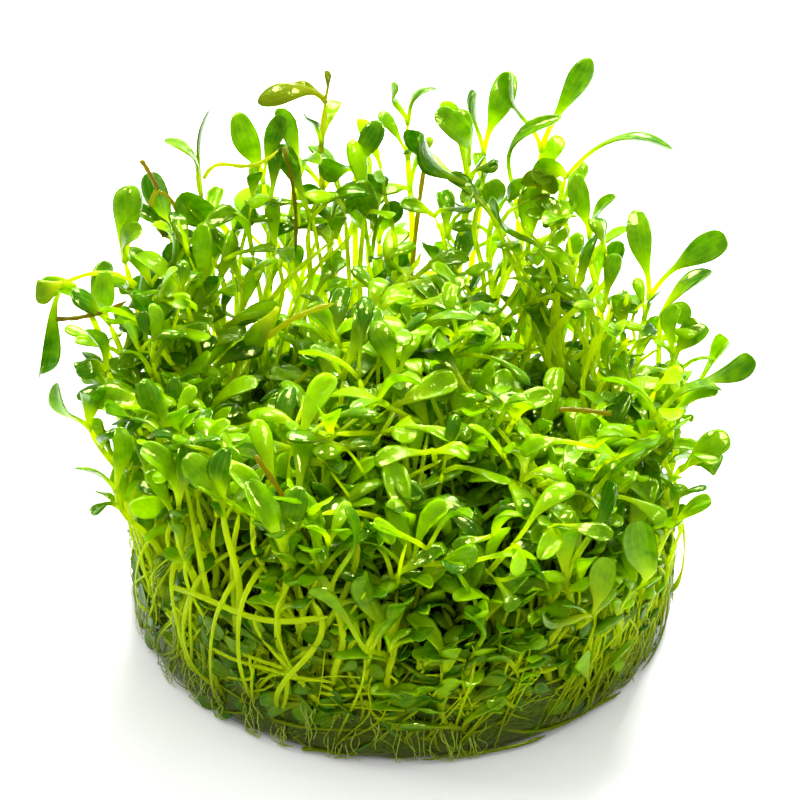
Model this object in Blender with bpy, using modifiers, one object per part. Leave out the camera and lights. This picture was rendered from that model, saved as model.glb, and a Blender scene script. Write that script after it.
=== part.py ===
"""Glossostigma as it comes out of its culture cup, in metres, +Z up.

A clear agar pad carries a round clump of plantlets. The clump's dense heart is
one solid with its short shoots grown together; the shoots of the rim stand
round it, each a stem with its spoon-shaped leaves. The origin is the centre of
the pad's flat underside, +X is right and +Y is the side away from the viewer.
"""
import math

import bmesh
import bpy
import numpy as np

MM = 0.001

# Driving dimensions, in millimetres
PAD_RADIUS = 27.5
PAD_HEIGHT = 8.0
PAD_CORNER = 1.2
PAD_WAVE = 0.35
PAD_SIDES = 40
GAP = 0.3

HEART_RADIUS = 25.8
HEART_HEIGHT = 19.5
HEART_SIDES = 30
HEART_LEAVES = 52
HEART_LEAF_LENGTH = 6.6
HEART_LEAF_WIDTH = 3.4
HEART_LEAF_RING = 22.5
HEART_LEAF_DEPTH = 2.0
HEART_SHOULDER = 16.5
# Each hollow of the heart's top: across, away, depth and spread
HEART_HOLLOWS = ((-14.0, 8.0, 5.0, 7.7), (12.0, 14.0, 4.0, 9.5))
WELD = 0.02

STEM_DIAMETER = 1.0
STEM_RESOLUTION = 0
FOOT_RADIUS = 26.9
FOOT_HEIGHT = PAD_HEIGHT + GAP

STEM_TAPER = (1.0, 1.0, 0.9, 0.85)
LEAF_DEPTH = 0.3
LEAF_ASIDE = 0.16

LEAF_THICKNESS_RATIO = 0.36
# The leaf's half width from its foot to its tip, as shares of the widest
LEAF_OUTLINE = (0.10, 0.30, 0.65, 1.0, 0.40)
GOLDEN_ANGLE = math.radians(137.508)

# Colours of the photograph, as linear RGB
LEAF_GREEN = (0.075, 0.33, 0.005)
HEART_GREEN = (0.045, 0.22, 0.004)
AGAR_OLIVE = (0.20, 0.28, 0.02)

# Rim shoots, in millimetres: the foot's bearing round the pad in degrees, the
# top of the stem, and each leaf's tip and width.
RIM_SHOOTS = (
    (168, (-30, 6, 30), (((-30, 5, 37), 2.6), ((-33.5, 5, 34), 3.2))),
    (157, (-28.5, 12, 33.5), (((-26.5, 11, 38), 2.8), ((-28, 14.5, 41), 4.0))),
    (163, (-33.5, 8.5, 33), (((-37, 7, 33.5), 2.6), ((-37, 5, 24), 3.0))),
    (176, (-30, 2, 27), (((-32, 2.5, 31.5), 2.6), ((-33, 0, 28), 2.4))),
    (190, (-31.5, -6, 25.5), (((-34.5, -6, 31), 3.2), ((-31, -6.5, 30), 3.0))),
    (204, (-28.5, -13, 23), (((-32.5, -13, 25.5), 3.0), ((-28, -12, 30), 2.6))),
    (152, (-26, 14, 29), (((-23.5, 14, 35.5), 1.8), ((-29, 16, 32), 2.6))),
    (136, (-20, 19.5, 26.5), (((-24.5, 15, 33), 3.8), ((-20, 19, 33), 3.0))),
    (129, (-18, 21.5, 30), (((-23, 18, 37.5), 3.8), ((-16, 19.5, 35.5), 3.0))),
    (143, (-24, 20, 30.5), (((-28, 18, 36), 2.0), ((-26, 21.5, 38), 3.6))),
    (134, (-21, 22, 35), (((-24.5, 20.5, 42.5), 3.4), ((-20, 24, 44), 3.2))),
    (122, (-14.5, 23, 36), (((-17, 22, 45), 3.2), ((-12.5, 24.5, 43), 2.4))),
    (108, (-8, 27.5, 43), (((-15, 25.5, 44), 2.8), ((-8, 28.5, 46), 1.0))),
    (115, (-11.5, 24, 33), (((-12, 20.5, 41.5), 3.0), ((-8.5, 22.5, 35), 2.6))),
    (101, (-5, 26.5, 35), (((-2.5, 27.5, 40.5), 2.8), ((-8.5, 23, 38.5), 3.0))),
    (95, (-2.5, 26.8, 26), (((-4.5, 23, 36), 3.0), ((-0.5, 25, 32), 2.6))),
    (89, (0.5, 28, 40), (((-0.5, 27, 45), 2.2), ((3.5, 29, 43.5), 3.0))),
    (80, (7, 28, 35), (((3.5, 25.5, 43), 3.0), ((6, 29, 41), 2.8))),
    (71, (9.5, 26, 30), (((1.5, 22, 42.5), 4.2), ((9, 23, 36), 3.0))),
    (75, (8.5, 30, 35), (((11, 31.5, 44), 3.2), ((7.5, 32.5, 41), 2.8))),
    (63, (14.5, 29, 36), (((11, 28, 46), 3.0), ((19.5, 31, 46), 3.2))),
    (66, (12, 27, 29), (((16.5, 26.5, 41.5), 2.4), ((13, 24, 35), 2.8))),
    (57, (17, 24, 36), (((28, 23.5, 39.5), 3.0), ((13.5, 22.5, 38), 3.4))),
    (45, (19.5, 21.5, 30), (((18, 22, 37.5), 2.6), ((22, 20, 36), 2.4))),
    (51, (17, 22, 25), (((9.5, 18, 37), 3.4), ((18.5, 24.5, 28.5), 2.4))),
    (29, (25.5, 14, 27.5), (((24, 16, 37), 3.0), ((33, 12.5, 36), 3.4))),
    (19, (26.5, 9.5, 28.5), (((31.5, 10, 33.5), 3.4), ((29.5, 8, 29.5), 2.8))),
    (10, (27.5, 5, 26.5), (((31, 5, 30), 2.6), ((28, 6.5, 31.5), 2.8))),
    (0, (28, 0.5, 24), (((35, 1, 29.5), 3.4), ((28, -2, 29), 2.6))),
    (342, (28, -9, 22.5), (((32.5, -9, 26.5), 3.2), ((31, -11.5, 25), 3.0))),
    (332, (27, -14.5, 20), (((30.5, -14.5, 23), 2.0), ((25.5, -13.5, 25), 3.0))),
    (320, (24, -20, 15.5), (((23, -21.5, 25.5), 4.4), ((27, -22, 16.5), 2.6))),
    (311, (19, -23, 14.5), (((13.5, -27, 18.5), 3.4), ((20, -23.5, 22.5), 3.0))),
    (303, (16, -22.6, 19), (((16, -23.5, 26), 3.4), ((20.5, -19.5, 28.5), 3.0))),
    (283, (6.5, -26.5, 11.5), (((2, -28.5, 14.5), 3.4), ((6, -28, 19.5), 3.2))),
    (293, (11.3, -25.6, 11), (((9.8, -27.8, 16.5), 3.0), ((15, -28.2, 13.5), 2.8))),
    (268, (-1, -27.2, 15), (((-4, -27.5, 23.5), 3.2), ((0.5, -29, 21), 3.0))),
    (256, (-7, -26.5, 21), (((-5.5, -26, 30.5), 3.0), ((-9.5, -28.5, 23), 2.6))),
    (245, (-11.5, -25, 24), (((-10, -24.5, 32), 3.0), ((-15, -23.5, 32), 3.0))),
    (232, (-17.5, -22, 28), (((-21, -21.5, 33.5), 3.4), ((-17, -20.5, 33.5), 3.0))),
    (219, (-22, -18, 25), (((-25.5, -17.5, 31.5), 3.0), ((-21, -16.5, 31.5), 2.8))),
)

# Tall shoots of the heart: where each leaves it, the top of the stem, leaves.
HEART_SHOOTS = (
    ((-5, 1, 16), (-4, 2, 22), (((2, -1, 27), 3.2), ((-8, 3, 28), 3.0))),
    ((6, -9, 16), (5.5, -8, 21), (((8.5, -8, 28), 3.0), ((13.5, -10, 23), 3.2))),
    ((3, 9, 16), (3, 10, 24), (((4, 12, 33), 3.0), ((8, 8, 28), 3.0))),
    ((-10.5, 4.5, 16), (-10, 6.5, 22.5), (((-13, 9, 28), 3.0), ((-16, 3, 26), 2.8))),
    ((13, 5, 16), (12, 6, 22), (((16, 8, 28), 3.2), ((10, 11, 26), 3.0))),
    ((21, 2, 16), (22.5, 3, 24), (((21.5, 3, 32), 3.4), ((19, 8, 30), 3.0))),
    ((-9, -13, 16), (-9, -13, 22), (((-13, -13, 28), 3.0), ((-5, -16, 27), 3.0))),
    ((14, -13, 16), (14, -12, 22), (((18, -11, 27), 3.0), ((10, -14, 28), 3.0))),
    ((-18, -6, 16), (-18.5, -6, 22), (((-22, -5, 27), 3.0), ((-15, -9, 28), 2.8))),
    ((-2, -19, 15), (-2, -19, 21), (((-5, -20, 27), 3.0), ((2, -20, 27), 3.0))),
)


def clear_scene():
    """Start from an empty file, whatever it held."""
    for thing in list(bpy.data.objects):
        bpy.data.objects.remove(thing, do_unlink=True)


def new_collection(name):
    """Make a collection under the scene."""
    collection = bpy.data.collections.new(name)
    bpy.context.scene.collection.children.link(collection)
    return collection


def make_material(name, colour, roughness, transmission=0.0):
    """Make a Principled material with one colour and roughness."""
    material = bpy.data.materials.new(name)
    material.use_nodes = True
    shader = material.node_tree.nodes["Principled BSDF"]
    shader.inputs["Base Color"].default_value = (*colour, 1.0)
    shader.inputs["Roughness"].default_value = roughness
    shader.inputs["Metallic"].default_value = 0.0
    shader.inputs["Transmission Weight"].default_value = transmission
    return material


def bezier(start, bend, end, count):
    """Give count points of the quadratic Bezier curve through start and end."""
    steps = np.linspace(0.0, 1.0, count)[:, None]
    start, bend, end = np.array(start), np.array(bend), np.array(end)
    return (1 - steps) ** 2 * start + 2 * steps * (1 - steps) * bend + steps ** 2 * end


def stem_points(foot, top):
    """A stem rises nearly straight, then leans over to its top."""
    foot, top = np.array(foot, float), np.array(top, float)
    bend = foot + (top - foot) * np.array([0.3, 0.3, 0.6])
    return bezier(foot, bend, top, 4)


def leaf_points(start, tip, stem_end):
    """A leaf leaves between the stem's way and its tip's, and bends to its tip."""
    start, tip = np.array(start, float), np.array(tip, float)
    way = tip - start
    bend = start + stem_end * np.linalg.norm(way) * 0.3 + way * 0.25
    return bezier(start, bend, tip, 5)


def curve_mesh(points, radii, bevel_depth=0.0, profile=None):
    """Sweep a round or a given section along points and give a closed mesh."""
    curve = bpy.data.curves.new("sweep", "CURVE")
    curve.dimensions = "3D"
    curve.twist_mode = "Z_UP"
    curve.use_fill_caps = True
    if profile is None:
        curve.bevel_depth = bevel_depth
        curve.bevel_resolution = STEM_RESOLUTION
    else:
        curve.bevel_mode = "OBJECT"
        curve.bevel_object = profile
    spline = curve.splines.new("POLY")
    spline.points.add(len(points) - 1)
    for knot, point, radius in zip(spline.points, points, radii):
        knot.co = (*(point * MM), 1.0)
        knot.radius = radius
    holder = bpy.data.objects.new("sweep", curve)
    bpy.context.scene.collection.objects.link(holder)
    graph = bpy.context.evaluated_depsgraph_get()
    mesh = bpy.data.meshes.new_from_object(holder.evaluated_get(graph))
    bpy.data.objects.remove(holder, do_unlink=True)
    bpy.data.curves.remove(curve)
    shape = bmesh.new()
    shape.from_mesh(mesh)
    bmesh.ops.remove_doubles(shape, verts=shape.verts, dist=WELD * MM)
    bmesh.ops.recalc_face_normals(shape, faces=shape.faces)
    shape.to_mesh(mesh)
    shape.free()
    return mesh


def leaf_section(collection):
    """The leaf's cross-section: a flat lens with four corners, 2 mm wide."""
    curve = bpy.data.curves.new("leaf_section", "CURVE")
    curve.dimensions = "2D"
    spline = curve.splines.new("POLY")
    spline.points.add(3)
    corners = ((1, 0), (0, LEAF_THICKNESS_RATIO), (-1, 0), (0, -LEAF_THICKNESS_RATIO))
    for knot, (across, up) in zip(spline.points, corners):
        knot.co = (across * MM, up * MM, 0.0, 1.0)
    spline.use_cyclic_u = True
    section = bpy.data.objects.new("leaf_section", curve)
    section.hide_render = True
    section.display_type = "WIRE"
    collection.objects.link(section)
    return section


def leaf_mesh(start, tip, width, stem_end, section):
    """A spoon-shaped leaf: a narrow petiole that widens to a blunt blade."""
    radii = [width / 2 * share for share in LEAF_OUTLINE]
    return curve_mesh(leaf_points(start, tip, stem_end), radii, profile=section)


def add_operand(name, mesh, collection):
    """Put a piece that is to be grown onto another in the guides."""
    operand = bpy.data.objects.new(name, mesh)
    operand.hide_render = True
    operand.display_type = "WIRE"
    collection.objects.link(operand)
    return operand


def grow_on(target, collection):
    """Join each piece of a collection to the target with an exact union."""
    for piece in collection.objects:
        union = target.modifiers.new(piece.name, "BOOLEAN")
        union.operation = "UNION"
        union.solver = "EXACT"
        union.object = piece


def direction(vector):
    """Give a vector its unit length."""
    return vector / np.linalg.norm(vector)


def foot_on_pad(bearing):
    """Where a rim shoot stands, just clear of the pad's top."""
    angle = math.radians(bearing)
    return FOOT_RADIUS * math.cos(angle), FOOT_RADIUS * math.sin(angle), FOOT_HEIGHT


def shoot_meshes(foot, top, leaves, section):
    """The stem's mesh and its leaves' meshes; each leaf starts in the stem's end."""
    points = stem_points(foot, top)
    stem_end = direction(points[-1] - points[-2])
    stem = curve_mesh(points, STEM_TAPER, bevel_depth=STEM_DIAMETER / 2 * MM)
    blades = []
    for tip, width in leaves:
        way = np.array(tip, float) - points[-1]
        aside = direction(way - stem_end * np.dot(way, stem_end))
        start = points[-1] - stem_end * LEAF_DEPTH + aside * LEAF_ASIDE
        blades.append(leaf_mesh(start, tip, width, stem_end, section))
    return stem, blades


def make_rim_shoot(name, shoot, parts, guides, section, material):
    """One stem with its leaves, to be joined in one solid."""
    bearing, top, leaves = shoot
    mesh, blades = shoot_meshes(foot_on_pad(bearing), top, leaves, section)
    mesh.materials.append(material)
    stem = bpy.data.objects.new(name, mesh)
    parts.objects.link(stem)
    own = bpy.data.collections.new(name + "_leaves")
    guides.children.link(own)
    for number, blade in enumerate(blades, 1):
        add_operand(f"{name}_leaf_{number}", blade, own)
    return stem, own


def hollows(x, y):
    """How far the heart's leaf layer dips, left of the middle and behind it."""
    depth = 0.0
    for across, away, deep, spread in HEART_HOLLOWS:
        depth += deep * math.exp(-((x - across) ** 2 + (y - away) ** 2) / spread ** 2)
    return depth


def mound_mesh():
    """The heart's body: a turned mound with two hollows pressed into its top."""
    foot = PAD_HEIGHT + GAP
    profile = ((0.0, HEART_HEIGHT), (9.0, HEART_HEIGHT), (17.0, HEART_HEIGHT),
               (23.0, HEART_HEIGHT - 1.5), (HEART_RADIUS, HEART_HEIGHT - 5.0),
               (HEART_RADIUS, foot + 2.0), (HEART_RADIUS - 1.0, foot), (0.0, foot))
    outline = bpy.data.meshes.new("mound_profile")
    points = [(radius * MM, 0.0, height * MM) for radius, height in profile]
    edges = [(index, index + 1) for index in range(len(points) - 1)]
    outline.from_pydata(points, edges, [])
    turned = bpy.data.objects.new("mound_profile", outline)
    bpy.context.scene.collection.objects.link(turned)
    screw = turned.modifiers.new("turn", "SCREW")
    screw.steps = HEART_SIDES
    screw.render_steps = HEART_SIDES
    screw.use_merge_vertices = True
    screw.merge_threshold = WELD * MM
    graph = bpy.context.evaluated_depsgraph_get()
    mesh = bpy.data.meshes.new_from_object(turned.evaluated_get(graph))
    bpy.data.objects.remove(turned, do_unlink=True)
    shape = bmesh.new()
    shape.from_mesh(mesh)
    bmesh.ops.remove_doubles(shape, verts=shape.verts, dist=WELD * MM)
    for vertex in shape.verts:
        if vertex.co.z > HEART_SHOULDER * MM:
            vertex.co.z -= hollows(vertex.co.x / MM, vertex.co.y / MM) * MM
    bmesh.ops.recalc_face_normals(shape, faces=shape.faces)
    shape.to_mesh(mesh)
    shape.free()
    return mesh


def heart_leaf(number, section):
    """One short leaf of the heart; the leaves are spread like sunflower seeds."""
    radius = HEART_LEAF_RING * math.sqrt((number + 0.5) / HEART_LEAVES)
    angle = number * GOLDEN_ANGLE
    x, y = radius * math.cos(angle), radius * math.sin(angle)
    start = np.array([x, y, HEART_HEIGHT - hollows(x, y) - HEART_LEAF_DEPTH])
    lean = angle + 2.4 * math.sin(number * 1.7)
    reach = HEART_LEAF_LENGTH * (0.55 + 0.25 * math.sin(number * 2.9))
    reach = min(reach, HEART_LEAF_RING + HEART_LEAF_DEPTH - radius)
    rise = HEART_LEAF_LENGTH * 0.8
    tip = start + np.array([reach * math.cos(lean), reach * math.sin(lean), rise])
    return leaf_mesh(start, tip, HEART_LEAF_WIDTH, np.array([0.0, 0.0, 1.0]), section)


def make_heart(parts, guides, section, material):
    """The dense middle: the mound, with its short shoots and leaves to be joined."""
    mesh = mound_mesh()
    mesh.materials.append(material)
    heart = bpy.data.objects.new("leafy_heart", mesh)
    parts.objects.link(heart)
    own = bpy.data.collections.new("leafy_heart_shoots")
    guides.children.link(own)
    for number, (start, top, leaves) in enumerate(HEART_SHOOTS, 1):
        stem, blades = shoot_meshes(start, top, leaves, section)
        add_operand(f"heart_stem_{number:02d}", stem, own)
        for side, blade in enumerate(blades, 1):
            add_operand(f"heart_stem_{number:02d}_leaf_{side}", blade, own)
    for number in range(HEART_LEAVES):
        add_operand(f"heart_leaf_{number + 1:02d}", heart_leaf(number, section), own)
    return heart, own


def make_pad(parts, material):
    """The agar pad: a low disc with a rounded corner and a slightly wavy edge."""
    shape = bmesh.new()
    bmesh.ops.create_cone(shape, cap_ends=True, segments=PAD_SIDES, radius1=PAD_RADIUS * MM,
                          radius2=PAD_RADIUS * MM, depth=PAD_HEIGHT * MM)
    for vertex in shape.verts:
        angle = math.atan2(vertex.co.y, vertex.co.x)
        wave = PAD_WAVE * (math.sin(3 * angle) + math.sin(5 * angle + 1)) / 2
        share = 1 + wave / PAD_RADIUS
        vertex.co.x *= share
        vertex.co.y *= share
        vertex.co.z += PAD_HEIGHT / 2 * MM
    mesh = bpy.data.meshes.new("gel_pad")
    shape.to_mesh(mesh)
    shape.free()
    mesh.materials.append(material)
    pad = bpy.data.objects.new("gel_pad", mesh)
    parts.objects.link(pad)
    rounding = pad.modifiers.new("soft_corners", "BEVEL")
    rounding.width = PAD_CORNER * MM
    rounding.segments = 2
    rounding.limit_method = "ANGLE"
    rounding.angle_limit = math.radians(50)
    return pad


def main():
    """Build the pad, the heart and the rim shoots."""
    clear_scene()
    parts = new_collection("glossostigma")
    guides = new_collection("joined_pieces")
    leaf = make_material("leaf", LEAF_GREEN, 0.3)
    heart = make_material("heart_leaf", HEART_GREEN, 0.35)
    agar = make_material("agar", AGAR_OLIVE, 0.1, transmission=0.8)
    section = leaf_section(guides)
    grown = [make_heart(parts, guides, section, heart)]
    for number, shoot in enumerate(RIM_SHOOTS, 1):
        name = f"rim_shoot_{number:02d}"
        grown.append(make_rim_shoot(name, shoot, parts, guides, section, leaf))
    for target, pieces in grown:
        grow_on(target, pieces)
    make_pad(parts, agar)


main()
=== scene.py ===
import math

import bpy
import numpy as np
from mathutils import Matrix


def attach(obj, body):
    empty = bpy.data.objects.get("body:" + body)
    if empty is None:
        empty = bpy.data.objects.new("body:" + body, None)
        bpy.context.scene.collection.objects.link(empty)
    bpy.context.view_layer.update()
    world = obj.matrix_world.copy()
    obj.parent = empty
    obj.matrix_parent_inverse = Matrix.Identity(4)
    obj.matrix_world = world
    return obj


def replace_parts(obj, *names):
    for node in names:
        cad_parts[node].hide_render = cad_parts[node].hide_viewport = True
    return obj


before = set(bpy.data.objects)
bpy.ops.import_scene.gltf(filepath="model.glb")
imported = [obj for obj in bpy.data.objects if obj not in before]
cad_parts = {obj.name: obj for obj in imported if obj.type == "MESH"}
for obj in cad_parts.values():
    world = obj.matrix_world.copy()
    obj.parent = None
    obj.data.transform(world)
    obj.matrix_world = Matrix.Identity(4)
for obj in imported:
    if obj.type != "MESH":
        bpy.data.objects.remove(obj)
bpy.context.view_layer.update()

# Camera, floor and light: a bench-top product shot of the clump on white,
# seen from 36 degrees above with a long lens. The light comes from a white tent
# and a soft panel over the back, so thin leaves glow and the shadow falls forward.
MM = 0.001
CAMERA_RISE = math.radians(36.0)
CAMERA_DISTANCE = 480.0
CAMERA_LENS = 213.0
LOOK_AT = np.array([-0.3, 0.0, 24.5])
NEAREST_SEEN = 10.0
FARTHEST_SEEN = 10000.0


def to_linear(hex_colour):
    """Turn an sRGB hex colour to linear RGBA: ((c + 0.055) / 1.055) ** 2.4 above 0.04045."""
    srgb = [int(hex_colour[place:place + 2], 16) / 255 for place in (1, 3, 5)]
    linear = [c / 12.92 if c <= 0.04045 else ((c + 0.055) / 1.055) ** 2.4 for c in srgb]
    return (*linear, 1.0)


def add_node(tree, kind, settings=(), values=(), links=()):
    """Add one node, set its properties and sockets, and link (socket, source) pairs."""
    node = tree.nodes.new(kind)
    for name, value in settings:
        setattr(node, name, value)
    for socket, value in values:
        node.inputs[socket].default_value = value
    for socket, source in links:
        tree.links.new(source, node.inputs[socket])
    return node


def aim(thing, place, target):
    """Put a camera or light at a place, in millimetres, looking at a target."""
    way = np.array(target, float) - np.array(place, float)
    flat = math.hypot(way[0], way[1])
    thing.location = [c * MM for c in place]
    thing.rotation_euler = (math.atan2(flat, -way[2]), 0.0, math.atan2(-way[0], way[1]))


lens = bpy.data.cameras.new("view")
lens.lens = CAMERA_LENS
lens.clip_start = NEAREST_SEEN * MM
lens.clip_end = FARTHEST_SEEN * MM
camera = bpy.data.objects.new("view", lens)
bpy.context.scene.collection.objects.link(camera)
back = CAMERA_DISTANCE * math.cos(CAMERA_RISE)
up = CAMERA_DISTANCE * math.sin(CAMERA_RISE)
aim(camera, LOOK_AT + np.array([0.0, -back, up]), LOOK_AT)
bpy.context.scene.camera = camera
bpy.context.scene.view_settings.view_transform = "Standard"

# Each light: name, place, width, height in millimetres, power in watts, and
# whether it lights matt surfaces too or only draws its glint on wet ones
LIGHTS = (
    ("back_panel", (50, 290, 340), 240, 180, 7.2, True),
    ("left_panel", (-280, 40, 320), 70, 70, 0.3, True),
    ("glint_left", (-150, 60, 420), 130, 130, 8.0, False),
    ("glint_right", (190, -40, 400), 115, 115, 6.5, False),
)
for name, place, width, height, power, lights_matt in LIGHTS:
    panel = bpy.data.lights.new(name, "AREA")
    panel.shape = "RECTANGLE"
    panel.size = width * MM
    panel.size_y = height * MM
    panel.energy = power
    light = bpy.data.objects.new(name, panel)
    bpy.context.scene.collection.objects.link(light)
    light.visible_diffuse = lights_matt
    aim(light, place, LOOK_AT)

TENT_STRENGTH = 1.08
world = bpy.data.worlds.new("white_tent")
world.use_nodes = True
tent = world.node_tree.nodes["Background"]
tent.inputs["Color"].default_value = to_linear("#ffffff")
tent.inputs["Strength"].default_value = TENT_STRENGTH
bpy.context.scene.world = world

# The floor is a white card, just below the pad's underside so that the two don't flicker
FLOOR_REACH = 4000.0
FLOOR_GAP = 0.02
floor_mesh = bpy.data.meshes.new("floor")
floor_corners = np.array([[-1, -1], [1, -1], [1, 1], [-1, 1]]) * FLOOR_REACH
floor_corners = np.column_stack([floor_corners, np.full(4, -FLOOR_GAP)]) * MM
floor_mesh.from_pydata(floor_corners.tolist(), [], [(0, 1, 2, 3)])
floor = bpy.data.objects.new("floor", floor_mesh)
bpy.context.scene.collection.objects.link(floor)
white_card = bpy.data.materials.new("white_card")
white_card.use_nodes = True
card_shader = white_card.node_tree.nodes["Principled BSDF"]
card_shader.inputs["Base Color"].default_value = to_linear("#f2f2f2")
card_shader.inputs["Roughness"].default_value = 0.9
floor_mesh.materials.append(white_card)

# Agar pad: the nutrient gel the clump was grown on, poured in a round cup and
# set, so it has a flat underside, a soft lower corner and a slightly wavy skin.
# It is wet, and olive and cloudy from the plant's juices and roots.
PAD_HEIGHT = 8.0
GEL_SIDES = 180


def make_piece(name, points, face_sets, material, marks=None):
    """Put (n, 3) millimetres and arrays of faces in a mesh, with float marks on its points."""
    corners = np.concatenate([faces.ravel() for faces in face_sets]).astype(np.int32)
    sizes = np.concatenate([np.full(len(faces), faces.shape[1]) for faces in face_sets])
    mesh = bpy.data.meshes.new(name)
    mesh.vertices.add(len(points))
    mesh.loops.add(len(corners))
    mesh.polygons.add(len(sizes))
    mesh.vertices.foreach_set("co", (np.asarray(points) * MM).astype(np.float32).ravel())
    mesh.loops.foreach_set("vertex_index", corners)
    mesh.polygons.foreach_set("loop_start", (np.cumsum(sizes) - sizes).astype(np.int32))
    mesh.update(calc_edges=True)
    mesh.polygons.foreach_set("use_smooth", np.ones(len(sizes), dtype=bool))
    for label, values in (marks or {}).items():
        layer = mesh.attributes.new(label, "FLOAT", "POINT")
        layer.data.foreach_set("value", np.asarray(values, dtype=np.float32).ravel())
    mesh.materials.append(material)
    piece = bpy.data.objects.new(name, mesh)
    bpy.context.scene.collection.objects.link(piece)
    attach(piece, "root")
    return piece


def turned_skin(profile, sides, wobble):
    """Carry an (r, z) profile round +Z: x = r cos a, y = r sin a, r scaled by wobble(a, z)."""
    radius, height = np.array(profile, float).T
    angle = np.linspace(0.0, 2 * np.pi, sides, endpoint=False)
    spread = radius[:, None] * wobble(angle[None, :], height[:, None])
    points = np.stack([spread * np.cos(angle), spread * np.sin(angle),
                       np.broadcast_to(height[:, None], spread.shape)], axis=-1)
    step = np.arange(len(profile) - 1)[:, None] * sides
    here = np.arange(sides)[None, :]
    beside = (here + 1) % sides
    quads = np.stack([step + here, step + beside, step + sides + beside, step + sides + here], axis=-1)
    underside = here[:, ::-1]
    top = here + (len(profile) - 1) * sides
    return points.reshape(-1, 3), [quads.reshape(-1, 4), underside, top]


def gel_wobble(angle, height):
    """The side's waves and folds: 1 + (three sines + product of two) * height share.

    They come to about half a millimetre, and to less towards the flat underside.
    """
    wave = 0.006 * np.sin(3 * angle) + 0.005 * np.sin(5 * angle + 1.0) + 0.003 * np.sin(11 * angle + 2.0)
    folds = 0.003 * np.sin(23 * angle + 0.5 * height) * np.sin(7 * angle)
    return 1.0 + (wave + folds) * np.clip(height / PAD_HEIGHT, 0.15, 1.0)


# Radius and height from the middle of the underside round to the middle of the top
GEL_PROFILE = ((0.5, 0.0), (20.0, 0.0), (26.4, 0.0), (27.2, 0.15), (27.7, 0.6), (27.95, 1.3), (28.0, 2.4),
               (27.9, 3.6), (27.7, 4.8), (27.4, 5.8), (27.0, 6.6), (26.4, 7.1), (25.6, 7.4), (22.0, 7.5),
               (10.0, 7.5), (0.5, 7.5))
# Agar gel, poured and set: clear with an olive tint, IOR of water gel 1.34,
# smooth and wet, so it shows sharp glints and the roots that stand in it.
agar = bpy.data.materials.new("set_agar_gel")
agar.use_nodes = True
agar_shader = agar.node_tree.nodes["Principled BSDF"]
agar_shader.inputs["Base Color"].default_value = to_linear("#86a010")
agar_shader.inputs["Roughness"].default_value = 0.05
agar_shader.inputs["IOR"].default_value = 1.34
agar_shader.inputs["Specular IOR Level"].default_value = 0.25
agar_shader.inputs["Specular Tint"].default_value = to_linear("#dcff8c")
agar_shader.inputs["Transmission Weight"].default_value = 0.90
gel_points, gel_faces = turned_skin(GEL_PROFILE, GEL_SIDES, gel_wobble)
pad = make_piece("agar_pad", gel_points, gel_faces, agar)
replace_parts(pad, "gel_pad")

# Root mat: the felt of old roots and leaf bases that fills the gel. It is one
# lumpy dark olive mass, a little inside the gel's skin and seen through it.
MAT_PROFILE = ((0.5, 0.5), (15.0, 0.5), (25.2, 0.5), (26.3, 0.9), (26.9, 1.8), (27.1, 3.2), (27.0, 4.6),
               (26.5, 5.8), (25.6, 6.8), (24.0, 8.2), (20.0, 9.0), (12.0, 9.6), (6.0, 9.8), (0.5, 9.8))


def mat_wobble(angle, height):
    """The mat's lumps: 0.983 + three sines of the bearing that lean with the height."""
    lumps = 0.010 * np.sin(9 * angle + 1.3 * height) + 0.008 * np.sin(17 * angle - 0.9 * height + 1.0)
    return 0.983 + lumps + 0.005 * np.sin(41 * angle + 2.1 * height)


# Felted roots: matt, and mottled from near-black green to olive in patches of 1
# to 3 mm. The olive is the roots' own colour; the near-black end is painted shade, the dark of the gaps in
# the tangle.
PATCH_WIDTH = 2.5
felt = bpy.data.materials.new("felted_roots")
felt.use_nodes = True
felt_tree = felt.node_tree
felt_shader = felt_tree.nodes["Principled BSDF"]
felt_place = add_node(felt_tree, "ShaderNodeTexCoord")
felt_patches = add_node(felt_tree, "ShaderNodeTexNoise", [],
                        [("Scale", 1 / (PATCH_WIDTH * MM)), ("Detail", 4.0), ("Roughness", 0.6)],
                        [("Vector", felt_place.outputs["Object"])])
felt_colour_and_shade = add_node(felt_tree, "ShaderNodeValToRGB", [], [], [("Fac", felt_patches.outputs["Fac"])])
# Painted shade: the near-black end of the ramp darkens the felt as the shade in its gaps would
felt_colour_and_shade.color_ramp.elements[0].position = 0.36
felt_colour_and_shade.color_ramp.elements[0].color = to_linear("#061a00")
felt_colour_and_shade.color_ramp.elements[1].position = 0.70
felt_colour_and_shade.color_ramp.elements[1].color = to_linear("#64880c")
felt_middle = felt_colour_and_shade.color_ramp.elements.new(0.52)
felt_middle.color = to_linear("#204602")
felt_tree.links.new(felt_colour_and_shade.outputs["Color"], felt_shader.inputs["Base Color"])
felt_shader.inputs["Roughness"].default_value = 0.6
mat_points, mat_faces = turned_skin(MAT_PROFILE, GEL_SIDES, mat_wobble)
root_mat = make_piece("root_mat", mat_points, mat_faces, felt)

# Living tissue of leaf and stem: wet, with a waxy skin, IOR 1.38. Light comes
# through it, lime in the pale stems and green in the blades. Faint veins run
# along the blade, and the wet skin gives small sharp glints.
VEIN_WAVES = 15.0
MOTTLE_WIDTH = 1.2
CREST_WIDTH = 0.7
CREST_HEIGHT = 0.12
plant = bpy.data.materials.new("living_leaf_tissue")
plant.use_nodes = True
tree = plant.node_tree
tree.nodes.clear()
marks = {}
for label in ("along", "across", "tone", "age", "shade"):
    marks[label] = add_node(tree, "ShaderNodeAttribute", [("attribute_name", label)]).outputs["Fac"]
place = add_node(tree, "ShaderNodeTexCoord").outputs["Object"]
blade_share = add_node(tree, "ShaderNodeMapRange", [("interpolation_type", "SMOOTHSTEP")],
                       [("From Min", 0.10), ("From Max", 0.75)], [("Value", marks["along"])])
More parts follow.
